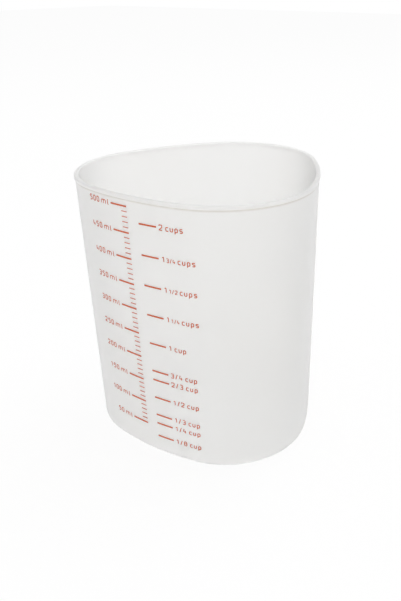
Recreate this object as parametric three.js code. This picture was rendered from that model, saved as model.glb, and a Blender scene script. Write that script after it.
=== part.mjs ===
// Measuring cup: one thin moulding with a rounded triangular plan, and two printed scales on one side.
// Millimetres. +Z is up, the cup stands on z = 0 and the printed side faces -Y. The functions below work
// from the cup's own axis, and the group at the end moves it to the middle of the overall box.
import * as THREE from "three";

// Moulding. Its height follows from what it holds, further down.
const sides = 3;
const cornerCentre = 14.5; // from the axis to the centre of each corner arc
const cornerRadius = 31.9; // outside, at the rim
const sideRadius = 95; // outside, at the rim
const draft = THREE.MathUtils.degToRad(0.9);
const wall = 1.3;
const footRadius = 1.8;
const footWidth = 3;
const footRecess = 0.6;
const recessSlope = 0.6; // how far the recess narrows over its depth
const floorTop = 2;
const floorRadius = 2;
const beadProud = 0.3;
const beadHeight = 1.2;
const rimRadius = 0.55;
const gateRadius = 2.4;
const gateHeight = 0.3;
const rimRoom = 3.6; // from the top line up to the rim

// Printed scales
const mlPerCup = 236.588;
const mlStep = 50;
const mlTop = 500;
const ticksPerStep = 5;
const cups = { "1_8": 1 / 8, "1_4": 1 / 4, "1_3": 1 / 3, "1_2": 1 / 2, "2_3": 2 / 3, "3_4": 3 / 4 };
const moreCups = { "1": 1, "1_1_4": 1.25, "1_1_2": 1.5, "1_3_4": 1.75, "2": 2 };
const mlBarRight = -1.2; // x of the ends of the marks
const mlBarLength = 6.9;
const tickLength = 2.3;
const cupBarLeft = 3.55;
const cupBarLength = 6.7;
const barHeight = 0.5;
const tickHeight = 0.22;
const inkThickness = 0.15;
const inkLift = 0.05;

// Mesh steps
const cornerSteps = 26;
const sideSteps = 12;
const roundSteps = 5;
const barSteps = 3;

// The plan: three corner arcs and three side arcs that meet on a common tangent. An inset keeps the
// centres and shortens the radii, so the wall has the same thickness all round.
const turn = (2 * Math.PI) / sides;
const halfSpan = cornerCentre * Math.sin(turn / 2);
const chordDistance = cornerCentre * Math.cos(turn / 2);
const sideCentre = Math.sqrt((sideRadius - cornerRadius) ** 2 - halfSpan ** 2) - chordDistance;
const sideHalfAngle = Math.atan2(halfSpan, chordDistance + sideCentre);
const cornerAngle = turn - 2 * sideHalfAngle;
const printSide = -Math.PI / 2;

// Area of the outer plan at the rim, and its length. An inset d takes length * d off the area and
// gives pi * d * d back.
const planLength = sides * (cornerRadius * cornerAngle + sideRadius * 2 * sideHalfAngle);
const planArea =
  sides * (sideRadius ** 2 * sideHalfAngle - sideCentre * halfSpan + (cornerRadius ** 2 * cornerAngle) / 2);

// Insets of the outer and the inner face: none outside at the rim, and the draft below it.
const outerInset = (z, rim) => (rim - z) * Math.tan(draft);
const innerInset = (z, rim) => outerInset(z, rim) + wall;

// What a cup with its rim at one height holds up to another, in millilitres. The fillet round the
// floor takes a little.
function filled(z, rim) {
  const slices = 24;
  const step = (z - floorTop) / slices;
  let volume = -(1 - Math.PI / 4) * floorRadius ** 2 * planLength;
  for (let i = 0; i < slices; i++) {
    const inset = innerInset(floorTop + (i + 0.5) * step, rim);
    volume += (planArea - planLength * inset + Math.PI * inset ** 2) * step;
  }
  return volume / 1000;
}

// The height at which a rising volume reaches so many millilitres.
function heightOf(millilitres, volumeAt) {
  let low = floorTop;
  let high = 10 * sideRadius;
  while (high - low > 1e-9) {
    const middle = (low + high) / 2;
    if (volumeAt(middle) < millilitres) low = middle;
    else high = middle;
  }
  return low;
}

// The cup is as tall as it takes to hold its top line's volume, and rimRoom more.
const height = heightOf(mlTop, (z) => filled(z, z + rimRoom)) + rimRoom;
const level = (millilitres) => heightOf(millilitres, (z) => filled(z, height));

// The points of one arc, without its last one.
function arc(direction, centreDistance, radius, halfAngle, steps, z) {
  const points = [];
  for (let i = 0; i < steps; i++) {
    const angle = direction - halfAngle + (2 * halfAngle * i) / steps;
    points.push([
      centreDistance * Math.cos(direction) + radius * Math.cos(angle),
      centreDistance * Math.sin(direction) + radius * Math.sin(angle),
      z,
    ]);
  }
  return points;
}

// The plan at one height, anticlockwise from above.
function planRing([inset, z]) {
  const points = [];
  for (let i = 0; i < sides; i++) {
    const side = printSide + i * turn;
    const corner = side + turn / 2;
    points.push(...arc(side, -sideCentre, sideRadius - inset, sideHalfAngle, sideSteps, z));
    points.push(...arc(corner, cornerCentre, cornerRadius - inset, cornerAngle / 2, cornerSteps, z));
  }
  return points;
}

// A round ring with as many points as the plan has.
function roundRing([radius, z]) {
  return planRing([0, z]).map((unused, i, all) => {
    const angle = printSide - sideHalfAngle + (2 * Math.PI * i) / all.length;
    return [radius * Math.cos(angle), radius * Math.sin(angle), z];
  });
}

// A closed solid over a row of rings, with a fan over the first ring and one over the last.
function loft(rings) {
  const count = rings[0].length;
  const last = rings.length - 1;
  const points = rings.flat();
  const faces = [];
  for (let r = 0; r < last; r++) {
    for (let i = 0; i < count; i++) {
      const a = r * count + i;
      const b = r * count + ((i + 1) % count);
      faces.push(a, b, b + count, a, b + count, a + count);
    }
  }
  for (const r of [0, last]) {
    const centre = points.length;
    const ring = rings[r];
    points.push([0, 1, 2].map((k) => ring.reduce((sum, p) => sum + p[k], 0) / count));
    for (let i = 0; i < count; i++) {
      const a = r * count + i;
      const b = r * count + ((i + 1) % count);
      faces.push(centre, r === 0 ? b : a, r === 0 ? a : b);
    }
  }
  const geometry = new THREE.BufferGeometry();
  geometry.setAttribute("position", new THREE.Float32BufferAttribute(points.flat(), 3));
  geometry.setIndex(faces);
  geometry.computeVertexNormals();
  return geometry;
}

// Points [inset, z] of a quarter round, or part of one.
function round(centreInset, centreZ, radius, from, to) {
  const points = [];
  for (let i = 0; i <= roundSteps; i++) {
    const angle = from + ((to - from) * i) / roundSteps;
    points.push([centreInset - radius * Math.cos(angle), centreZ + radius * Math.sin(angle)]);
  }
  return points;
}

function cupBody() {
  const quarter = Math.PI / 2;
  const footCentre = outerInset(footRadius, height) + footRadius / Math.cos(draft);
  const recessEdge = footCentre + footWidth;
  const filletZ = floorTop + floorRadius;
  const filletCentre = innerInset(filletZ, height) + floorRadius / Math.cos(draft);
  const beadFoot = height - beadHeight;
  const section = [
    [recessEdge + recessSlope, footRecess],
    [recessEdge, 0],
    ...round(footCentre, footRadius, footRadius, -quarter, -draft),
    [outerInset(beadFoot - beadProud, height), beadFoot - beadProud],
    [-beadProud, beadFoot],
    ...round(rimRadius - beadProud, height - rimRadius, rimRadius, 0, quarter),
    ...round(wall - rimRadius, height - rimRadius, rimRadius, quarter, 2 * quarter),
    ...round(filletCentre, filletZ, floorRadius, -draft, -quarter),
  ];
  const gate = [
    [gateRadius - gateHeight / 2, footRecess - gateHeight],
    [gateRadius, footRecess],
  ];
  return loft([...gate.map(roundRing), ...section.map(planRing)]);
}

// A printed mark: a thin slab that follows the printed side from one x to another.
function mark(left, right, z, tall) {
  const corners = [
    [inkLift + inkThickness, -tall / 2],
    [inkLift, -tall / 2],
    [inkLift, tall / 2],
    [inkLift + inkThickness, tall / 2],
  ];
  const rings = [];
  for (let i = 0; i <= barSteps; i++) {
    const x = left + ((right - left) * i) / barSteps;
    rings.push(
      corners.map(([out, up]) => {
        const radius = sideRadius - outerInset(z + up, height);
        const angle = Math.asin(x / radius);
        const reach = radius + out;
        return [reach * Math.sin(angle), sideCentre - reach * Math.cos(angle), z + up];
      }),
    );
  }
  return loft(rings);
}

const moulding = { color: "#e6e8e7", roughness: 0.35, metalness: 0, side: THREE.DoubleSide };
const ink = { color: "#dd5327", roughness: 0.45, metalness: 0 };
const cornerReach = cornerCentre + cornerRadius + beadProud;
const sideReach = sideRadius - sideCentre + beadProud;
const cup = new THREE.Group();
cup.name = "measuring_cup";
cup.position.y = (sideReach - cornerReach) / 2;

function add(name, geometry, looks) {
  const mesh = new THREE.Mesh(geometry, new THREE.MeshStandardMaterial(looks));
  mesh.name = name;
  cup.add(mesh);
}

add("cup_body", cupBody(), moulding);
const tickStep = mlStep / ticksPerStep;
for (let ml = mlStep; ml <= mlTop; ml += tickStep) {
  const major = ml % mlStep === 0;
  const left = mlBarRight - (major ? mlBarLength : tickLength);
  const bar = mark(left, mlBarRight, level(ml), major ? barHeight : tickHeight);
  add((major ? "ml_bar_" : "ml_tick_") + ml, bar, ink);
}
for (const [name, share] of Object.entries({ ...cups, ...moreCups })) {
  const bar = mark(cupBarLeft, cupBarLeft + cupBarLength, level(share * mlPerCup), barHeight);
  add("cup_bar_" + name, bar, ink);
}

export default cup;
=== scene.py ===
import math
import bpy
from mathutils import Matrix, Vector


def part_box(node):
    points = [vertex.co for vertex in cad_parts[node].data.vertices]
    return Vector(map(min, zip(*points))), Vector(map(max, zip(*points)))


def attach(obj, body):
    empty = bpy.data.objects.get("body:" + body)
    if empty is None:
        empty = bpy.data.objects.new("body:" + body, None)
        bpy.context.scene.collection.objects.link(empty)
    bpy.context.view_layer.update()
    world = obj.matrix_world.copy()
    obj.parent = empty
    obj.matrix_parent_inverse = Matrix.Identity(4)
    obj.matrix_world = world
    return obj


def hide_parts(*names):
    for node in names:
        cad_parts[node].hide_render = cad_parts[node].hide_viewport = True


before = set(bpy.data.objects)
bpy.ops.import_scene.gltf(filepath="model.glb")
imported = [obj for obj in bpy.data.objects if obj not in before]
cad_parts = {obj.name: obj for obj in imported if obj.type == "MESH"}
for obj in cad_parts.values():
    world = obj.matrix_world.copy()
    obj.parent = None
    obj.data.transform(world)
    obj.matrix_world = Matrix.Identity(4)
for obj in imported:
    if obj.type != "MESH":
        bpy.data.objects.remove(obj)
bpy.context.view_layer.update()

mm = 0.001
print("frame loaded with", len(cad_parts), "nodes")


# A colour written as on screen, turned to the linear values that a shader takes.
def linearColour(hexValue):
    channels = [int(hexValue[i:i + 2], 16) / 255 for i in (1, 3, 5)]
    return [c / 12.92 if c <= 0.04045 else ((c + 0.055) / 1.055) ** 2.4 for c in channels] + [1]


# One shader node of a material or a world, with its settings, and its inputs as values or as links.
def addNode(owner, kind, settings=None, inputs=None):
    node = owner.node_tree.nodes.new("ShaderNode" + kind)
    for name, value in (settings or {}).items():
        setattr(node, name, value)
    for name, value in (inputs or {}).items():
        if isinstance(value, bpy.types.NodeSocket):
            owner.node_tree.links.new(value, node.inputs[name])
        else:
            node.inputs[name].default_value = value
    return node


# A blend from one colour to the next, each given with the value at which it is reached.
def addRamp(material, value, stops):
    ramp = addNode(material, "ValToRGB", inputs={"Fac": value})
    for element, (position, colour) in zip(ramp.color_ramp.elements, stops):
        element.position = position
        element.color = linearColour(colour)
    return ramp


# The scale of a noise whose features are so many mm wide.
def noiseScale(size):
    return 1 / (size * mm)


def newMaterial(name):
    material = bpy.data.materials.new(name)
    material.use_nodes = True
    material.node_tree.nodes.clear()
    return material


def giveMaterial(piece, material):
    piece.data.materials.clear()
    piece.data.materials.append(material)


def addPlane(name, size):
    bpy.ops.object.select_all(action="DESELECT")
    bpy.ops.mesh.primitive_plane_add(size=size)
    piece = bpy.context.object
    piece.name = name
    piece.data.name = name
    return piece


def startEdit():
    bpy.ops.object.mode_set(mode="EDIT")


def endEdit():
    bpy.ops.object.mode_set(mode="OBJECT")


def weldAll(distance):
    bpy.ops.mesh.select_all(action="SELECT")
    bpy.ops.mesh.remove_doubles(threshold=distance * mm)


def turnFacesOut():
    bpy.ops.mesh.select_all(action="SELECT")
    bpy.ops.mesh.normals_make_consistent(inside=False)


# What is selected, extruded by so many mm.
def extrudeBy(x, y, z):
    bpy.ops.mesh.extrude_region_move(TRANSFORM_OT_translate={"value": (x * mm, y * mm, z * mm)})


# A new piece of a single vertex, open for editing: the start of an outline.
def startOutline(name, x, y, z):
    piece = addPlane(name, mm)
    startEdit()
    bpy.ops.mesh.select_mode(type="VERT")
    bpy.ops.mesh.select_all(action="SELECT")
    bpy.ops.mesh.merge(type="CENTER")
    bpy.ops.transform.translate(value=(x * mm, y * mm, z * mm))
    return piece


# The moulding, in mm and degrees: the solid's own sizes, with finer steps.
cup = {
    "sides": 3,
    "cornerCentre": 14.5,  # from the cup's axis to the centre of a corner arc
    "cornerRadius": 31.9,  # this and the next at the rim, outside
    "sideRadius": 95.0,
    "draft": 0.9,
    "wall": 1.3,
    "footRadius": 1.8,
    "footWidth": 3.0,
    "footRecess": 0.6,
    "recessSlope": 0.6,  # how far the recess draws in over its depth
    "floorTop": 2.0,
    "floorRadius": 2.0,
    "beadProud": 0.3,
    "beadHeight": 1.2,
    "rimRadius": 0.55,
    "gateRadius": 1.5844,  # the solid's is 2.4
    "gateHeight": 0.3,
    "cornerSteps": 96,
    "sideSteps": 72,
    "roundSteps": 7,
    "weldDistance": 0.001,
    "levelTolerance": 0.01,
    "smoothAngle": 35,
}
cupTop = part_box("cup_body")[1].z / mm
turn = 2 * math.pi / cup["sides"]
printSide = -math.pi / 2
draftSlope = math.tan(math.radians(cup["draft"]))
draftCosine = math.cos(math.radians(cup["draft"]))

# The arcs of the sides and corners share their tangents. That sets where a side arc has its centre,
# beyond the axis, and how far round it runs.
halfSpan = cup["cornerCentre"] * math.sin(turn / 2)  # half the way from one corner centre to the next
chordDistance = cup["cornerCentre"] * math.cos(turn / 2)  # from the axis to the line between them
centreGap = cup["sideRadius"] - cup["cornerRadius"]  # from a side arc's centre to a corner arc's
sideCentre = math.sqrt(centreGap ** 2 - halfSpan ** 2) - chordDistance
sideHalfAngle = math.atan2(halfSpan, chordDistance + sideCentre)

# The origin is the middle of the box, so the axis lies a few mm off it, towards the print.
axisY = (cup["sideRadius"] - sideCentre - cup["cornerCentre"] - cup["cornerRadius"]) / 2


# How far the draft draws the outer wall in at a height.
def outerInset(z):
    return (cupTop - z) * draftSlope


# Spins the outline's last point round a centre at a distance from the axis, in one direction of it.
def drawArc(direction, distance, z, angle, steps):
    x = distance * math.cos(direction)
    y = axisY + distance * math.sin(direction)
    bpy.ops.mesh.spin(
        steps=steps,
        angle=-angle,  # a negative angle runs anticlockwise
        center=(x * mm, y * mm, z * mm),
        axis=(0, 0, 1),
    )


# The rounded triangle as one face.
def drawPlan(name, inset, z):
    start = printSide - sideHalfAngle
    radius = cup["sideRadius"] - inset
    x = radius * math.cos(start)
    y = axisY + sideCentre + radius * math.sin(start)
    piece = startOutline(name, x, y, z)
    for i in range(cup["sides"]):
        side = printSide + i * turn
        corner = side + turn / 2
        drawArc(side, -sideCentre, z, 2 * sideHalfAngle, cup["sideSteps"])
        drawArc(corner, cup["cornerCentre"], z, turn - 2 * sideHalfAngle, cup["cornerSteps"])
    weldAll(cup["weldDistance"])
    bpy.ops.mesh.edge_face_add()
    return piece


# From the selected face on, each inset leads to the next point (inset, z) of the section. The direction
# is 1 from a face that looks up, and -1 from one that looks down.
def followSection(points, direction):
    for (inset, z), (nextInset, nextZ) in zip(points, points[1:]):
        bpy.ops.mesh.inset(thickness=max(nextInset - inset, 0) * mm, depth=direction * (nextZ - z) * mm)


# Points (inset, z) round an edge or a fillet. Angle 0 points outwards, and a quarter turn points up.
def roundPoints(centreInset, centreZ, radius, start, end):
    points = []
    for i in range(cup["roundSteps"] + 1):
        angle = start + (end - start) * i / cup["roundSteps"]
        points.append((centreInset - radius * math.cos(angle), centreZ + radius * math.sin(angle)))
    return points


# The one face that spans the whole plan at a height: all others have four corners.
def selectFlatFace(piece, z):
    endEdit()
    for polygon in piece.data.polygons:
        level = math.isclose(polygon.center.z, z * mm, abs_tol=cup["levelTolerance"] * mm)
        polygon.select = level and len(polygon.vertices) > 4
    startEdit()


# A copy of the recess's face, rounded to a disc, sized and raised. It lies round the origin, and the
# solid's round the cup's axis.
def addGateMark(piece):
    bpy.ops.mesh.inset(thickness=0, depth=0)
    bpy.ops.transform.tosphere(value=1)
    endEdit()
    radius = max(v.co.xy.length for v in piece.data.vertices if v.select)
    share = cup["gateRadius"] * mm / radius
    startEdit()
    bpy.ops.transform.resize(value=(share, share, 1))
    bpy.ops.mesh.inset(thickness=cup["gateHeight"] / 2 * mm, depth=cup["gateHeight"] * mm)


def makeMoulding():
    quarter = math.pi / 2
    draft = math.radians(cup["draft"])
    beadFoot = cupTop - cup["beadHeight"]
    beadTop = cupTop - cup["rimRadius"]
    piece = drawPlan("cupMoulding", -cup["beadProud"], beadFoot)
    bpy.ops.mesh.select_mode(type="FACE")
    bpy.ops.mesh.select_all(action="SELECT")
    extrudeBy(0, 0, beadTop - beadFoot)
    turnFacesOut()

    # Up over the rim, down the inner wall and round the floor.
    filletZ = cup["floorTop"] + cup["floorRadius"]
    filletInset = outerInset(filletZ) + cup["wall"] + cup["floorRadius"] / draftCosine
    selectFlatFace(piece, beadTop)
    followSection([
        *roundPoints(cup["rimRadius"] - cup["beadProud"], beadTop, cup["rimRadius"], 0, quarter),
        *roundPoints(cup["wall"] - cup["rimRadius"], beadTop, cup["rimRadius"], quarter, 2 * quarter),
        *roundPoints(filletInset, filletZ, cup["floorRadius"], -draft, -quarter),
    ], 1)

    # From the bead down the outer wall, round the foot and into the recess.
    footInset = outerInset(cup["footRadius"]) + cup["footRadius"] / draftCosine
    underBead = beadFoot - cup["beadProud"]
    recessEdge = footInset + cup["footWidth"]
    selectFlatFace(piece, beadFoot)
    followSection([
        (-cup["beadProud"], beadFoot),
        (outerInset(underBead), underBead),
        *roundPoints(footInset, cup["footRadius"], cup["footRadius"], -draft, -quarter),
        (recessEdge, 0),
        (recessEdge + cup["recessSlope"], cup["footRecess"]),
    ], -1)
    addGateMark(piece)
    endEdit()
    bpy.ops.object.shade_smooth_by_angle(angle=math.radians(cup["smoothAngle"]))
    return piece


# Injection-moulded polypropylene, natural and unfilled: a milky, waxy plastic. It lets light through
# but blurs what is behind it, and the mould's fine satin finish breaks up its highlights.
plastic = {  # sizes in mm, the density per metre
    "colour": "#fefefd",
    "colourAt": 0.7,
    "shade": "#fdfcfa",
    "shadeAt": 0.3,
    # the colour of the painted shade in the crease under the bead
    "creaseShade": "#e1ded8",
    "creaseStart": 2.1,  # below the rim
    "creaseEnd": 0.7,
    "roughness": 0.37,
    "roughnessSpread": 0.03,
    "ior": 1.49,
    "innerTransmission": 0.62,
    "outerTransmission": 0.53,
    "beadTransmission": 0.44,
    "depthColour": "#c0b49c",
    "depthDensity": 12.0,
    "subsurface": 1.0,
    "scatter": 1.5,
    "flowSize": 36.0,
    "grainSize": 0.33,
    "bump": 0.12,
    "bumpDepth": 0.01,
}


def makePolypropylene():
    material = newMaterial("mouldedPolypropylene")
    coordinates = addNode(material, "TexCoord")
    place = coordinates.outputs["Object"]
    grain = addNode(material, "TexNoise", inputs={
        "Vector": place, "Scale": noiseScale(plastic["grainSize"]), "Detail": 2, "Roughness": 0.5})
    flow = addNode(material, "TexNoise", inputs={
        "Vector": place, "Scale": noiseScale(plastic["flowSize"]), "Detail": 3, "Roughness": 0.55})
    tone = addRamp(material, flow.outputs["Fac"], [
        (plastic["shadeAt"], plastic["shade"]),
        (plastic["colourAt"], plastic["colour"]),
    ])
    satin = addNode(material, "MapRange", inputs={
        "Value": flow.outputs["Fac"],
        "To Min": plastic["roughness"] - plastic["roughnessSpread"],
        "To Max": plastic["roughness"] + plastic["roughnessSpread"],
    })
    bump = addNode(material, "Bump", inputs={
        "Height": grain.outputs["Fac"], "Strength": plastic["bump"], "Distance": plastic["bumpDepth"] * mm})

    # The draft leans the outside down and the inside up, so the normal tells them apart.
    lean = addNode(material, "SeparateXYZ", inputs={"Vector": coordinates.outputs["Normal"]}).outputs["Z"]
    outside = addNode(material, "MapRange", inputs={
        "Value": lean, "From Min": draftSlope / 2, "From Max": -draftSlope / 2})

    # Painted shade in the crease under the bead, on the outside only: it draws the rim's thin line.
    height = addNode(material, "SeparateXYZ", inputs={"Vector": place}).outputs["Z"]
    rimPlace = addNode(material, "MapRange", inputs={
        "Value": height,
        "From Min": (cupTop - plastic["creaseStart"]) * mm,
        "From Max": (cupTop - plastic["creaseEnd"]) * mm,
    })
    creaseShadePlace = addNode(material, "ValToRGB", inputs={"Fac": rimPlace.outputs["Result"]})
    creaseShadePlace.color_ramp.elements[1].color = (0, 0, 0, 1)
    creaseShadePlace.color_ramp.elements.new(0.5).color = (1, 1, 1, 1)  # the deepest part is half way
    creaseShadeShare = addNode(material, "Math", {"operation": "MULTIPLY"}, {
        0: creaseShadePlace.outputs["Color"], 1: outside.outputs["Result"]})
    # The plastic's tone, darkened by the painted shade in the crease.
    tonedWithCreaseShade = addNode(material, "Mix", {"data_type": "RGBA", "blend_type": "MULTIPLY"}, {
        0: creaseShadeShare.outputs["Value"],
        6: tone.outputs["Color"],  # 6 and 7 are the two colours
        7: linearColour(plastic["creaseShade"]),
    })

    # The outside's satin lets less light in than the inside, and the thick bead less again. From within,
    # light leaves by refraction alone.
    sideClearness = addNode(material, "MapRange", inputs={
        "Value": outside.outputs["Result"],
        "To Min": plastic["innerTransmission"],
        "To Max": plastic["outerTransmission"],
    })
    clearness = addNode(material, "MapRange", inputs={
        "Value": rimPlace.outputs["Result"],
        "To Min": sideClearness.outputs["Result"],
        "To Max": plastic["beadTransmission"],
    })
    face = addNode(material, "NewGeometry")
    letThrough = addNode(material, "MapRange", inputs={
        "Value": face.outputs["Backfacing"], "To Min": clearness.outputs["Result"], "To Max": 1.0})
    surface = addNode(material, "BsdfPrincipled", inputs={
        "Base Color": tonedWithCreaseShade.outputs[2],  # the one that gives a colour
        "Roughness": satin.outputs["Result"],
        "Normal": bump.outputs["Normal"],
        "IOR": plastic["ior"],
        "Transmission Weight": letThrough.outputs["Result"],
        "Subsurface Weight": plastic["subsurface"],
        "Subsurface Radius": (1.0, 1.0, 1.0),
        "Subsurface Scale": plastic["scatter"] * mm,
    })
    depth = addNode(material, "VolumeAbsorption", inputs={
        "Color": linearColour(plastic["depthColour"]), "Density": plastic["depthDensity"]})
    addNode(material, "OutputMaterial", inputs={
        "Surface": surface.outputs["BSDF"], "Volume": depth.outputs["Volume"]})
    return material


moulding = makeMoulding()
giveMaterial(moulding, makePolypropylene())
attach(moulding, "root")
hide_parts("cup_body")
print("moulding made:", len(moulding.data.polygons), "faces")


# Pad-printed ink: a thin opaque film with a soft sheen, a little uneven where it went on.
ink = {  # sizes in mm
    "colour": "#c84e0c",
    "colourAt": 0.42,
    "thin": "#d0622c",
    "thinAt": 0.72,
    "roughness": 0.5,
    "ior": 1.5,
    "spreadSize": 0.7,
    "bump": 0.2,
    "bumpDepth": 0.01,
    "lift": -0.01,  # of the labels: a little into the wall
    "thickness": 0.04,
}


def makeInk():
    material = newMaterial("padPrintedInk")
    place = addNode(material, "TexCoord").outputs["Object"]
    spread = addNode(material, "TexNoise", inputs={
        "Vector": place, "Scale": noiseScale(ink["spreadSize"]), "Detail": 3, "Roughness": 0.6})
    tone = addRamp(material, spread.outputs["Fac"], [
        (ink["colourAt"], ink["colour"]),
        (ink["thinAt"], ink["thin"]),
    ])
    bump = addNode(material, "Bump", inputs={
        "Height": spread.outputs["Fac"], "Strength": ink["bump"], "Distance": ink["bumpDepth"] * mm})
    surface = addNode(material, "BsdfPrincipled", inputs={
        "Base Color": tone.outputs["Color"],
        "Normal": bump.outputs["Normal"],
        "Roughness": ink["roughness"],
        "IOR": ink["ior"],
    })
    addNode(material, "OutputMaterial", inputs={"Surface": surface.outputs["BSDF"]})
    return material


inkMaterial = makeInk()
for name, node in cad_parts.items():
    if name != "cup_body":
        giveMaterial(node, inkMaterial)
print("print marks coloured")


# The words beside the marks, in mm over the ink. Each letter is drawn with a pen of one width along
# the middle of its strokes, as parts of the height of a figure's own middle line, and its corners
# are rounded.
lettering = {
    "height": 2.0,
    "pen": 0.3,
    "figureWidth": 1.3,
    "letterWidth": 1.15,
    "letterHeight": 1.5,
    "widestLetter": 2.35,
    "gap": 0.54,
    "space": 1.1,
    "cornerRadius": 0.35,
    "cornerSteps": 5,
    "smallShare": 0.76,
    "smallGap": 0.27,
    "mlRight": -9.5,
    "cupsLeft": 11.2,
    "weldDistance": 0.002,  # this and the next are used before a letter is scaled
    "sliverSize": 0.005,
}
lineHeight = lettering["height"] - lettering["pen"]


def glyphStrokes():
    figure, letter, tall, wide = [
        (lettering[name] - lettering["pen"]) / lineHeight
        for name in ("figureWidth", "letterWidth", "letterHeight", "widestLetter")
    ]
    return {
        "0": [[(0, 0.5), (0, 1), (figure, 1), (figure, 0), (0, 0), (0, 0.5)]],
        "1": [[(0.13, 0.78), (0.45, 1), (0.45, 0)]],
        "2": [[(0, 0.8), (0, 1), (figure, 1), (figure, 0.55), (0, 0.1), (0, 0), (figure, 0)]],
        "3": [[(0, 1), (figure, 1), (figure, 0.53), (0.2, 0.53)],
              [(0.24, 0.51), (figure, 0.51), (figure, 0), (0, 0)]],
        "4": [[(0.15, 1), (0, 0.3), (figure, 0.3)], [(0.45, 0.58), (0.45, 0)]],
        "5": [[(figure, 1), (0, 1), (0, 0.58), (figure, 0.58), (figure, 0), (0, 0)]],
        "8": [[(0, 0.5), (0, 1), (figure, 1), (figure, 0), (0, 0), (0, 0.5)],
              [(0, 0.53), (figure, 0.53)]],
        "/": [[(0, -0.06), (0.4, 1.06)]],
        "m": [[(0, 0), (0, tall), (wide, tall), (wide, 0)], [(wide / 2, tall), (wide / 2, 0)]],
        "l": [[(0.1, 1), (0.1, 0), (0.27, 0)]],
        "c": [[(letter, tall), (0, tall), (0, 0), (letter, 0)]],
        "u": [[(0, tall), (0, 0), (letter, 0), (letter, tall)]],
        "p": [[(0, -0.35), (0, tall), (letter, tall), (letter, 0), (0, 0)]],
        "s": [[(letter, tall), (0, tall), (0, tall / 2), (letter, tall / 2), (letter, 0), (0, 0)]],
    }


def drawStroke(points):
    piece = startOutline("glyph", points[0][0], 0, points[0][1])
    for (x, z), (nextX, nextZ) in zip(points, points[1:]):
        extrudeBy(nextX - x, 0, nextZ - z)
    bpy.ops.mesh.select_all(action="SELECT")
    bpy.ops.mesh.bevel(
        offset=lettering["cornerRadius"] / lineHeight * mm,
        segments=lettering["cornerSteps"],
        affect="VERTICES",
        clamp_overlap=True,
    )
    weldAll(lettering["weldDistance"])
    bpy.ops.mesh.select_mode(type="EDGE")
    bpy.ops.mesh.select_all(action="SELECT")
    extrudeBy(0, ink["thickness"] / lineHeight, 0)
    turnFacesOut()
    endEdit()
    modifier = piece.modifiers.new("pen", "SOLIDIFY")
    modifier.thickness = lettering["pen"] / lineHeight * mm
    modifier.offset = 0
    modifier.use_even_offset = True
    bpy.ops.object.modifier_apply(modifier=modifier.name)
    return piece


def joinPieces(parts, name):
    bpy.ops.object.select_all(action="DESELECT")
    for part in parts:
        part.select_set(True)
    bpy.context.view_layer.objects.active = parts[0]
    bpy.ops.object.join()
    parts[0].name = name
    parts[0].data.name = name
    return parts[0]


# A letter of two strokes becomes one closed solid.
def drawGlyph(strokes):
    glyph, *others = [drawStroke(points) for points in strokes]
    bpy.context.view_layer.objects.active = glyph
    for other in others:
        modifier = glyph.modifiers.new("union", "BOOLEAN")
        modifier.operation = "UNION"
        modifier.object = other
        bpy.ops.object.modifier_apply(modifier=modifier.name)
        bpy.data.objects.remove(other)
    startEdit()
    weldAll(lettering["sliverSize"])  # the cuts where two strokes meet leave slivers
    endEdit()
    return glyph


glyphs = {sign: drawGlyph(strokes) for sign, strokes in glyphStrokes().items()}
print("letters drawn:", len(glyphs))


# Runs of (text, share of the full size) set from left to right, their ink from x = 0 on.
def setLine(runs, name):
    parts = []
    penX = 0.0
    for text, share in runs:
        gap = lettering["gap"] if share == 1 else lettering["smallGap"]
        size = lineHeight * share
        halfPen = lettering["pen"] / 2 * share
        for sign in text:
            if sign == " ":
                penX += lettering["space"] - lettering["gap"]
                continue
            letter = glyphs[sign].copy()
            letter.data = glyphs[sign].data.copy()
            bpy.context.collection.objects.link(letter)
            letter.scale = (size, size, size)
            letter.location = ((penX + halfPen) * mm, 0, -lineHeight / 2 * mm)
            parts.append(letter)
            if sign.isdigit():
                inkWidth = lettering["figureWidth"] * share
            else:
                inkWidth = max(v.co.x for v in letter.data.vertices) / mm * size + halfPen
            penX += inkWidth + gap
    piece = joinPieces(parts, name)
    bpy.ops.object.transform_apply(location=True, rotation=True, scale=True)
    return piece, penX - lettering["gap"]


# The flat line laid on the printed side: its middle at a mark's height, its start at x = left.
def layOnWall(piece, left, height):
    back = max(v.co.y / mm for v in piece.data.vertices)
    for v in piece.data.vertices:
        z = v.co.z / mm + height
        reach = cup["sideRadius"] - outerInset(z) + ink["lift"] + (back - v.co.y / mm)
        angle = math.asin((v.co.x / mm + left) / reach)
        v.co = (reach * math.sin(angle) * mm, (axisY + sideCentre - reach * math.cos(angle)) * mm, z * mm)
    piece.data.update()
    startEdit()
    turnFacesOut()
    endEdit()


def makeLabel(node, runs, onTheLeft):
    low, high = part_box(node)
    piece, width = setLine(runs, node.replace("bar", "label"))
    left = lettering["mlRight"] - width if onTheLeft else lettering["cupsLeft"]
    layOnWall(piece, left, (low.z + high.z) / 2 / mm)
    giveMaterial(piece, inkMaterial)
    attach(piece, "root")


for volume in range(50, 501, 50):
    makeLabel(f"ml_bar_{volume}", [(f"{volume} ml", 1)], True)
small = lettering["smallShare"]
cupLabels = {
    "1_8": [("1/8 cup", 1)],
    "1_4": [("1/4 cup", 1)],
    "1_3": [("1/3 cup", 1)],
    "1_2": [("1/2 cup", 1)],
    "2_3": [("2/3 cup", 1)],
    "3_4": [("3/4 cup", 1)],
    "1": [("1 cup", 1)],
    "1_1_4": [("1", 1), ("1/4", small), (" cups", 1)],
    "1_1_2": [("1", 1), ("1/2", small), (" cups", 1)],
    "1_3_4": [("1", 1), ("3/4", small), (" cups", 1)],
    "2": [("2 cups", 1)],
}
for volume, runs in cupLabels.items():
    makeLabel(f"cup_bar_{volume}", runs, False)
for master in glyphs.values():
    bpy.data.objects.remove(master)
print("labels laid on the wall")


# A plain white floor. Its own light leaves only a very faint shadow, as in the photograph.
stage = {
    "size": 6.0,
    "colour": "#ffffff",
    "glow": 0.88,
}


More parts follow.
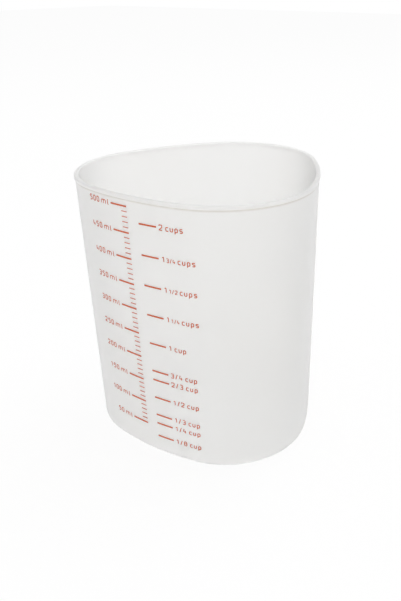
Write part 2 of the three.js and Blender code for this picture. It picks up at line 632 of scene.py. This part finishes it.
def makeStage():
    floor = addPlane("floor", stage["size"])
    material = newMaterial("floorPaint")
    paint = addNode(material, "BsdfDiffuse", inputs={"Color": linearColour(stage["colour"])})
    glow = addNode(material, "Emission", inputs={"Color": (1, 1, 1, 1), "Strength": 1.0})
    mixed = addNode(material, "MixShader", inputs={
        "Fac": stage["glow"], 1: paint.outputs["BSDF"], 2: glow.outputs["Emission"]})
    addNode(material, "OutputMaterial", inputs={"Surface": mixed.outputs["Shader"]})
    giveMaterial(floor, material)


makeStage()


studio = {  # places and sizes in metres, power in watts
    "roomLight": 0.77,
    "lamps": {
        "key": {"place": (-0.9, -0.7, 1.1), "size": 0.9, "power": 0.8},
        "top": {"place": (0.2, 0.5, 1.3), "size": 1.0, "power": 5.0},
    },
    "aimHeight": 0.05,
}


# 1 where the camera, a reflection or a look through the plastic sees the background, else 0.
def seenDirectly(world):
    rays = addNode(world, "LightPath")
    direct = rays.outputs["Is Camera Ray"]
    for kind in ("Is Glossy Ray", "Is Transmission Ray"):
        either = addNode(world, "Math", {"operation": "MAXIMUM"}, {0: direct, 1: rays.outputs[kind]})
        direct = either.outputs["Value"]
    return direct


def makeStudio():
    world = bpy.data.worlds.new("studioRoom")
    bpy.context.scene.world = world
    world.use_nodes = True
    world.node_tree.nodes.clear()
    strength = addNode(world, "MapRange", inputs={
        "Value": seenDirectly(world), "To Min": studio["roomLight"], "To Max": 1.0})
    room = addNode(world, "Background", inputs={
        "Color": (1, 1, 1, 1), "Strength": strength.outputs["Result"]})
    addNode(world, "OutputWorld", inputs={"Surface": room.outputs["Background"]})
    for name, lamp in studio["lamps"].items():
        bpy.ops.object.select_all(action="DESELECT")
        bpy.ops.object.light_add(type="AREA", location=lamp["place"])
        light = bpy.context.object
        light.name = name + "Light"
        light.data.size = lamp["size"]
        light.data.energy = lamp["power"]
        x, y, z = lamp["place"]
        tilt = math.atan2(math.hypot(x, y), z - studio["aimHeight"])
        light.rotation_euler = (tilt, 0, math.atan2(x, -y))


makeStudio()


# The photograph's view: millimetres, degrees, and pixels of a frame 401 wide and 601 high.
camera = {
    "aim": (17.74, 8.48, 46.16),
    "azimuth": 32.88,
    "elevation": 25.33,
    "distance": 268.1,
    "focalPixels": 687.3,
    "shiftPixels": 65.0,
    "framePixels": 601,
    "sensor": 36.0,
    "nearest": 10.0,
    "farthest": 50000.0,
}


def makeCamera():
    azimuth = math.radians(camera["azimuth"])
    elevation = math.radians(camera["elevation"])
    level = math.cos(elevation)
    away = (math.sin(azimuth) * level, -math.cos(azimuth) * level, math.sin(elevation))
    place = [(a + camera["distance"] * d) * mm for a, d in zip(camera["aim"], away)]
    bpy.ops.object.camera_add(location=place, rotation=(math.pi / 2 - elevation, 0, azimuth))
    eye = bpy.context.object
    eye.name = "photoCamera"
    eye.data.sensor_width = camera["sensor"]
    eye.data.lens = camera["focalPixels"] * camera["sensor"] / camera["framePixels"]
    eye.data.shift_x = -camera["shiftPixels"] / camera["framePixels"]
    eye.data.clip_start = camera["nearest"] * mm
    eye.data.clip_end = camera["farthest"] * mm
    bpy.context.scene.camera = eye


makeCamera()
bpy.context.scene.view_settings.view_transform = "Standard"
print("stage, lamps and camera set")
